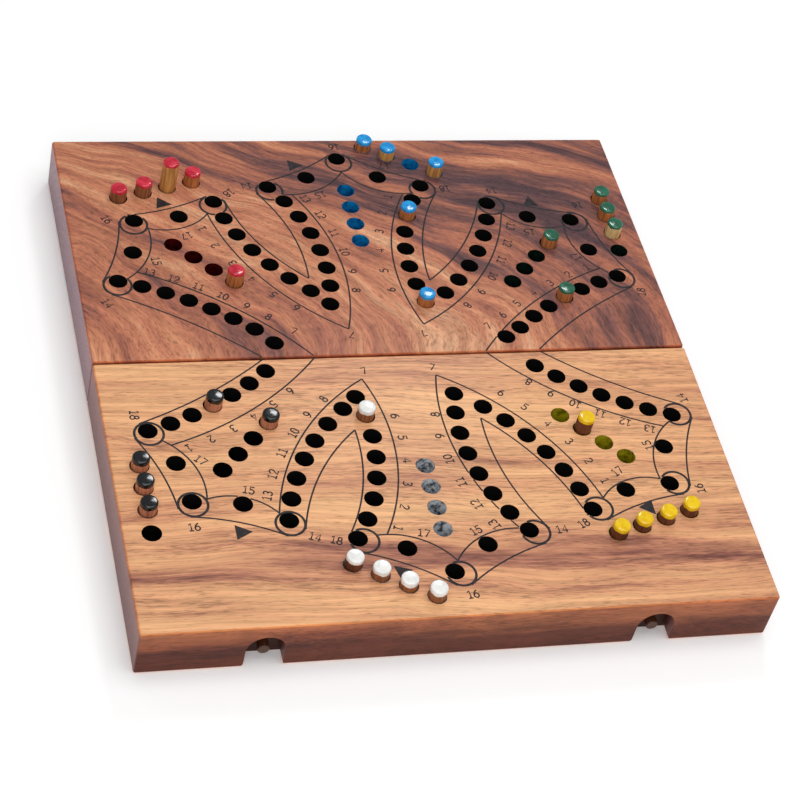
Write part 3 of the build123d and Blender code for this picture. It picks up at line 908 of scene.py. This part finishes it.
def edge_shade(tree, colour, where, end_colour):
    """Side faces, coloured by the way that they face. The eased top edge is tinted orange as a
    painted highlight; the sides are painted darker as shade, redder, and darker still towards
    the bottom; the notches are painted dark inside as shade; and the ends of the boards are end
    grain, greyer and more purple, partly a painted sheen. Faces that look up or down keep the
    colour given."""
    split = add(tree, "ShaderNodeSeparateXYZ", {"Vector": where})
    # Painted shade: the sides are darkened to at most 0.62 of the colour given, and down to 0.16
    # towards the bottom, along a wandering border
    wave = figure(tree, where, (70, 7, 7), 4.0, 0.65)
    height = add(tree, "ShaderNodeMath", {
        0: wave.outputs["Fac"], 1: DARK_EDGE_WANDER, 2: split.outputs["Z"]},
        operation="MULTIPLY_ADD")
    painted_side_shade = add(tree, "ShaderNodeMapRange", {
        "Vector": height.outputs[0], 7: (DARK_EDGE[0],) * 3, 8: (DARK_EDGE[1],) * 3,
        9: (0.16, 0.065, 0.055), 10: (0.62, 0.38, 0.30)}, data_type="FLOAT_VECTOR")
    sides = add(tree, "ShaderNodeVectorMath", {
        0: colour, 1: painted_side_shade.outputs["Vector"]}, operation="MULTIPLY")
    coordinates = add(tree, "ShaderNodeTexCoord")
    facing = add(tree, "ShaderNodeSeparateXYZ", {"Vector": coordinates.outputs["Normal"]})
    endward = add(tree, "ShaderNodeMath", {0: facing.outputs["X"]}, operation="ABSOLUTE")
    end = add(tree, "ShaderNodeMapRange", {
        "Value": endward.outputs[0], "From Min": 0.6, "From Max": 0.95, "To Max": 0.75})
    # End grain: growth rings about a pith below the board, and open pores
    pith = add(tree, "ShaderNodeMapping", {"Vector": where, "Location": PITH})
    rings = add(tree, "ShaderNodeTexWave", {
        "Vector": pith.outputs[0], "Scale": 0.07, "Distortion": 5.0, "Detail": 3.0,
        "Detail Scale": 0.3}, wave_type="RINGS", rings_direction="X", wave_profile="SAW")
    pores = add(tree, "ShaderNodeTexNoise", {"Vector": where, "Scale": 1 / 0.8, "Detail": 2.0})
    open_pores = add(tree, "ShaderNodeMapRange", {
        "Value": pores.outputs["Fac"], "From Min": 0.34, "From Max": 0.5,
        "To Min": 0.62, "To Max": 1.0})
    ring_shade = add(tree, "ShaderNodeMapRange", {
        "Value": rings.outputs["Fac"], "To Min": 1.10, "To Max": 0.90})
    shade = add(tree, "ShaderNodeMath", {
        0: open_pores.outputs[0], 1: ring_shade.outputs[0]}, operation="MULTIPLY")
    # The ends' grey-mauve colour: end grain, and partly a painted sheen of white light at a
    # grazing angle
    end_grain_and_painted_sheen = add(tree, "ShaderNodeVectorMath", {
        0: srgb(end_colour)[:3], "Scale": shade.outputs[0]}, operation="SCALE")
    sides = add(tree, "ShaderNodeMix", {
        0: end.outputs[0], 6: sides.outputs[0], 7: end_grain_and_painted_sheen.outputs[0]}, data_type="RGBA")
    # The notches in the outer edges are painted near-black inside: painted shade of the deep
    # recesses
    out = add(tree, "ShaderNodeMath", {0: split.outputs["Y"]}, operation="ABSOLUTE")
    along = add(tree, "ShaderNodeMath", {0: split.outputs["X"]}, operation="ABSOLUTE")
    within = add(tree, "ShaderNodeMath", {
        0: along.outputs[0], 1: NOTCH_WITHIN}, operation="LESS_THAN")
    inner = add(tree, "ShaderNodeMapRange", {
        "Value": out.outputs[0], "From Min": NOTCH_MOUTH[0], "From Max": NOTCH_MOUTH[1],
        "To Min": 0.7, "To Max": 0.0})
    away = add(tree, "ShaderNodeMapRange", {
        "Value": out.outputs[0], "From Min": NOTCH_FROM_SEAM[0],
        "From Max": NOTCH_FROM_SEAM[1]})
    beyond = add(tree, "ShaderNodeMath", {
        0: inner.outputs[0], 1: away.outputs[0]}, operation="MULTIPLY")
    bare_wood_and_painted_notch_shade = add(tree, "ShaderNodeMath", {
        0: beyond.outputs[0], 1: within.outputs[0]}, operation="MULTIPLY")
    # Painted shade: the notch walls are mixed towards near-black brown
    sides = add(tree, "ShaderNodeMix", {
        0: bare_wood_and_painted_notch_shade.outputs[0], 6: sides.outputs[2], 7: srgb("#1c0c06")}, data_type="RGBA")
    # The eased edges between the sides and the faces, tinted orange: a painted highlight where
    # the lacquer catches the light
    upright = add(tree, "ShaderNodeMath", {0: facing.outputs["Z"]}, operation="ABSOLUTE")
    flat = add(tree, "ShaderNodeMapRange", {
        "Value": upright.outputs[0], "From Min": 0.25, "From Max": 0.6})
    wear_and_painted_edge_highlight = add(tree, "ShaderNodeVectorMath", {
        0: colour, 1: (0.92, 0.62, 0.42)}, operation="MULTIPLY")
    edged = add(tree, "ShaderNodeMix", {
        0: flat.outputs[0], 6: sides.outputs[2], 7: wear_and_painted_edge_highlight.outputs[0]}, data_type="RGBA")
    face = add(tree, "ShaderNodeMapRange", {
        "Value": upright.outputs[0], "From Min": 0.80, "From Max": 0.97})
    return add(tree, "ShaderNodeMix", {
        0: face.outputs[0], 6: edged.outputs[2], 7: colour}, data_type="RGBA").outputs[2]


def lacquer(tree, shader, grain):
    """Thin satin lacquer: a soft gloss that breaks up where it sinks into the pores."""
    rough = add(tree, "ShaderNodeMapRange", {
        "Value": grain, "From Min": 0.3, "From Max": 0.7, "To Min": 0.52, "To Max": 0.38})
    tree.links.new(rough.outputs[0], shader.inputs["Roughness"])
    relief = add(tree, "ShaderNodeBump", {
        "Height": grain, "Strength": 0.25, "Distance": 0.15 * MM})
    tree.links.new(relief.outputs[0], shader.inputs["Normal"])
    shader.inputs["IOR"].default_value = 1.5
    shader.inputs["Specular IOR Level"].default_value = 0.2
    shader.inputs["Coat Weight"].default_value = 0.05
    shader.inputs["Coat Roughness"].default_value = 0.15


def printed_ink():
    """Screen-printed ink under the lacquer: warm charcoal, a little uneven."""
    made, tree, shader = new_material("screen_printed_charcoal_ink")
    where = in_millimetres(tree)
    wear_and_painted_edge_highlight = add(tree, "ShaderNodeTexNoise", {"Vector": where, "Scale": 1 / 2.5, "Detail": 3.0})
    colour = add(tree, "ShaderNodeValToRGB", {"Fac": wear_and_painted_edge_highlight.outputs["Fac"]}, stops=[
        (0.35, "#191517"), (0.65, "#322b2f")])
    tree.links.new(colour.outputs["Color"], shader.inputs["Base Color"])
    shader.inputs["Roughness"].default_value = 0.6
    shader.inputs["Specular IOR Level"].default_value = 0.3
    return made


def hole_finish(name, dark, light, patch, rough=0.5):
    """Stain or paint brushed into drilled holes, uneven over patches of patch mm where the
    wood drank it."""
    made, tree, shader = new_material(name)
    where = in_millimetres(tree)
    brushed = add(tree, "ShaderNodeTexNoise", {
        "Vector": where, "Scale": 1 / patch, "Detail": 3.0, "Roughness": 0.6})
    colour = add(tree, "ShaderNodeValToRGB", {"Fac": brushed.outputs["Fac"]}, stops=[
        (0.38, dark), (0.56, light)])
    tree.links.new(colour.outputs["Color"], shader.inputs["Base Color"])
    shader.inputs["Roughness"].default_value = rough
    shader.inputs["Specular IOR Level"].default_value = 0.2
    return made


PAINTS = {
    "white": ("#e9e9e6", "#f7f7f4"),
    "yellow": ("#e9b90c", "#f6d010"),
    "green": ("#1f5a44", "#2d7056"),
    "blue": ("#0a86cc", "#1fa5ea"),
    "red": ("#b81730", "#da3348"),
    "black": ("#0c0e11", "#171a1e"),
}
WOODS = {
    "dark": ("#3d1b0e", "#713a1d"),
    "brown": ("#66391f", "#9c5f38"),
    "orange": ("#8c4f27", "#c67c45"),
    "pink": ("#8a523c", "#c68363"),
    "tan": ("#a86f38", "#dba35c"),
    "pale": ("#c9a160", "#f0d294"),
}
# Wood and depth of the cap in millimetres, for each player and for pegs that differ
PEG_LOOKS = {
    "white": ("brown", 2.4),
    "white_peg_1": ("dark", 2.2),
    "yellow": ("dark", 2.3),
    "green": ("orange", 1.5),
    "green_peg_1": ("pale", 1.4),
    "blue": ("orange", 1.8),
    "blue_peg_1": ("tan", 1.6),
    "blue_peg_2": ("tan", 1.6),
    "red": ("orange", 1.6),
    "red_peg_2": ("tan", 1.3),
    "red_peg_3": ("brown", 1.6),
    "red_peg_4": ("brown", 1.6),
    "black": ("pink", 2.4),
}
PEG_FINISHES = {}


def peg_finish(player, wood, cap):
    """Turned hardwood with its tip dipped in enamel, whose lower edge ran unevenly."""
    name = f"{wood}_dowel_with_{player}_enamel_{cap}".replace(".", "_")
    if name in PEG_FINISHES:
        return PEG_FINISHES[name]
    made, tree, shader = new_material(name)
    where = in_millimetres(tree)
    # Grain runs along the peg: streaks 0.8 mm wide and 12 mm long
    grain = figure(tree, where, (0.8, 0.8, 12), 3.0, 0.6)
    dark, light = WOODS[wood]
    timber = add(tree, "ShaderNodeValToRGB", {"Fac": grain.outputs["Fac"]}, stops=[
        (0.34, dark), (0.60, light)])
    film = add(tree, "ShaderNodeTexNoise", {"Vector": where, "Scale": 1 / 3, "Detail": 1.0})
    dull, bright = PAINTS[player]
    paint = add(tree, "ShaderNodeValToRGB", {"Fac": film.outputs["Fac"]}, stops=[
        (0.35, dull), (0.65, bright)])
    depth = add(tree, "ShaderNodeAttribute", attribute_name="tip_depth")
    run = add(tree, "ShaderNodeTexNoise", {"Vector": where, "Scale": 1 / 2.2, "Detail": 2.0})
    edge = add(tree, "ShaderNodeMath", {
        0: run.outputs["Fac"], 1: 1.6, 2: depth.outputs["Fac"]}, operation="MULTIPLY_ADD")
    bare_wood_and_painted_notch_shade = add(tree, "ShaderNodeMapRange", {
        "Value": edge.outputs[0], "From Min": cap + 0.75, "From Max": cap + 0.85})
    mixed = add(tree, "ShaderNodeMix", {
        0: bare_wood_and_painted_notch_shade.outputs[0], 6: paint.outputs["Color"], 7: timber.outputs["Color"]},
        data_type="RGBA")
    tree.links.new(mixed.outputs[2], shader.inputs["Base Color"])
    gloss = add(tree, "ShaderNodeMapRange", {
        "Value": bare_wood_and_painted_notch_shade.outputs[0], "To Min": 0.12, "To Max": 0.5})
    tree.links.new(gloss.outputs[0], shader.inputs["Roughness"])
    shader.inputs["IOR"].default_value = 1.5
    PEG_FINISHES[name] = made
    return made


def brushed_metal(name, dark, light, rough, line):
    """Brushed metal, with fine lines along X that are line mm wide."""
    made, tree, shader = new_material(name)
    where = in_millimetres(tree)
    lines = figure(tree, where, (12, line, line), 3.0)
    colour = add(tree, "ShaderNodeValToRGB", {"Fac": lines.outputs["Fac"]}, stops=[
        (0.35, dark), (0.65, light)])
    tree.links.new(colour.outputs["Color"], shader.inputs["Base Color"])
    wear_and_painted_edge_highlight = add(tree, "ShaderNodeMapRange", {
        "Value": lines.outputs["Fac"], "To Min": rough - 0.08, "To Max": rough + 0.12})
    tree.links.new(wear_and_painted_edge_highlight.outputs[0], shader.inputs["Roughness"])
    shader.inputs["Metallic"].default_value = 1.0
    return made


def stud_beech():
    """A stained beech dowel, with fine flecks along its length."""
    made, tree, shader = new_material("beech_dowel_stained")
    where = in_millimetres(tree)
    flecks = figure(tree, where, (0.5, 8, 0.5), 3.0)
    colour = add(tree, "ShaderNodeValToRGB", {"Fac": flecks.outputs["Fac"]}, stops=[
        (0.35, "#2c170c"), (0.65, "#63391c")])
    tree.links.new(colour.outputs["Color"], shader.inputs["Base Color"])
    shader.inputs["Roughness"].default_value = 0.5
    return made


INK = printed_ink()
HOLE_FINISH = {
    # Track holes: real black stain, made blacker still as painted shade of the deep holes
    "track": hole_finish("black_stain_and_painted_shade_in_track_holes", "#020101", "#070504", 3.0, 0.9),
    "blue": hole_finish("blue_paint_in_holes", "#085388", "#128ac8", 3.0, 0.35),
    "green": hole_finish("green_black_paint_in_holes", "#06110d", "#0d2018", 3.0, 0.4),
    "red": hole_finish("dark_red_paint_in_holes", "#240203", "#4a0507", 3.0, 0.4),
    "white": hole_finish("thin_white_paint_in_holes", "#4a4c52", "#dfe3e8", 2.6, 0.4),
    "yellow": hole_finish("olive_yellow_paint_in_holes", "#6e6510", "#b8aa1a", 4.0, 0.4),
    "black": hole_finish("black_paint_in_holes", "#040404", "#0c0b0b", 3.0, 0.4),
}


def dress_frame():
    """The finish of each CAD node that stays in view."""
    finishes = {
        "rear_board": rear_acacia(),
        "front_board": front_acacia(),
        "leaf": brushed_metal("stamped_brass_leaf", "#8f6c2c", "#d3aa57", 0.34, 0.3),
        "screw": brushed_metal("turned_brass_screw", "#9c7a38", "#dcb566", 0.28, 0.4),
        "pin": brushed_metal("drawn_steel_pin", "#7d7f82", "#b9bbbe", 0.25, 0.2),
        "stud": stud_beech(),
    }
    for name, node in nodes.items():
        match = [word for word in finishes if word in name]
        if match:
            for slot in node.material_slots:
                slot.material = finishes[match[0]]


# ---- stage --------------------------------------------------------------------------

def make_floor():
    """A plain pale floor that runs well past the camera's view."""
    deselect()
    bpy.ops.mesh.primitive_plane_add(size=FLOOR_SIZE)
    floor = bpy.context.active_object
    floor.name = "floor"
    made, _, shader = new_material("pale_studio_floor")
    shader.inputs["Base Color"].default_value = srgb("#fdfdfd")
    shader.inputs["Roughness"].default_value = 0.9
    shader.inputs["Emission Color"].default_value = (1, 1, 1, 1)
    shader.inputs["Emission Strength"].default_value = FLOOR_GLOW
    floor.data.materials.append(made)


def add_light(name, size, power, place_at):
    """A square soft box that faces the board."""
    light = bpy.data.lights.new(name, "AREA")
    light.shape = "SQUARE"
    light.size = size
    light.energy = power
    box = bpy.data.objects.new(name, light)
    box.location = place_at
    box.rotation_euler = (-Vector(place_at)).to_track_quat("-Z", "Y").to_euler()
    bpy.context.scene.collection.objects.link(box)


def light_stage():
    """Even white surroundings, a big soft box overhead, a weaker one in front, and a small
    one behind that shines in the caps of the pegs."""
    world = bpy.data.worlds.new("studio")
    bpy.context.scene.world = world
    world.use_nodes = True
    background = world.node_tree.nodes["Background"]
    background.inputs["Color"].default_value = (1, 1, 1, 1)
    background.inputs["Strength"].default_value = SURROUND_STRENGTH
    for light in LIGHTS:
        add_light(*light)
    bpy.context.scene.view_settings.view_transform = "Standard"


def set_camera():
    """The camera, looking down on the board from the front left, a little tilted."""
    camera = bpy.data.objects.new("camera", bpy.data.cameras.new("camera"))
    bpy.context.scene.collection.objects.link(camera)
    camera.data.lens = LENS_MM
    camera.data.sensor_width = SENSOR_MM
    azimuth = radians(CAMERA_AZIMUTH)
    elevation = radians(CAMERA_ELEVATION)
    roll = radians(CAMERA_ROLL)
    forward = Vector((sin(azimuth) * cos(elevation), cos(azimuth) * cos(elevation),
                      -sin(elevation)))
    level = Vector((cos(azimuth), -sin(azimuth), 0))
    upright = level.cross(forward)
    right = level * cos(roll) + upright * sin(roll)
    up = upright * cos(roll) - level * sin(roll)
    turned = Matrix((right, up, -forward)).transposed().to_4x4()
    camera.matrix_world = Matrix.Translation(LOOK_AT - forward * CAMERA_DISTANCE) @ turned
    bpy.context.scene.camera = camera


set_camera()
make_floor()
light_stage()
dress_frame()
for side in ("rear", "front"):
    print_half(side)
line_holes()
place_pegs()
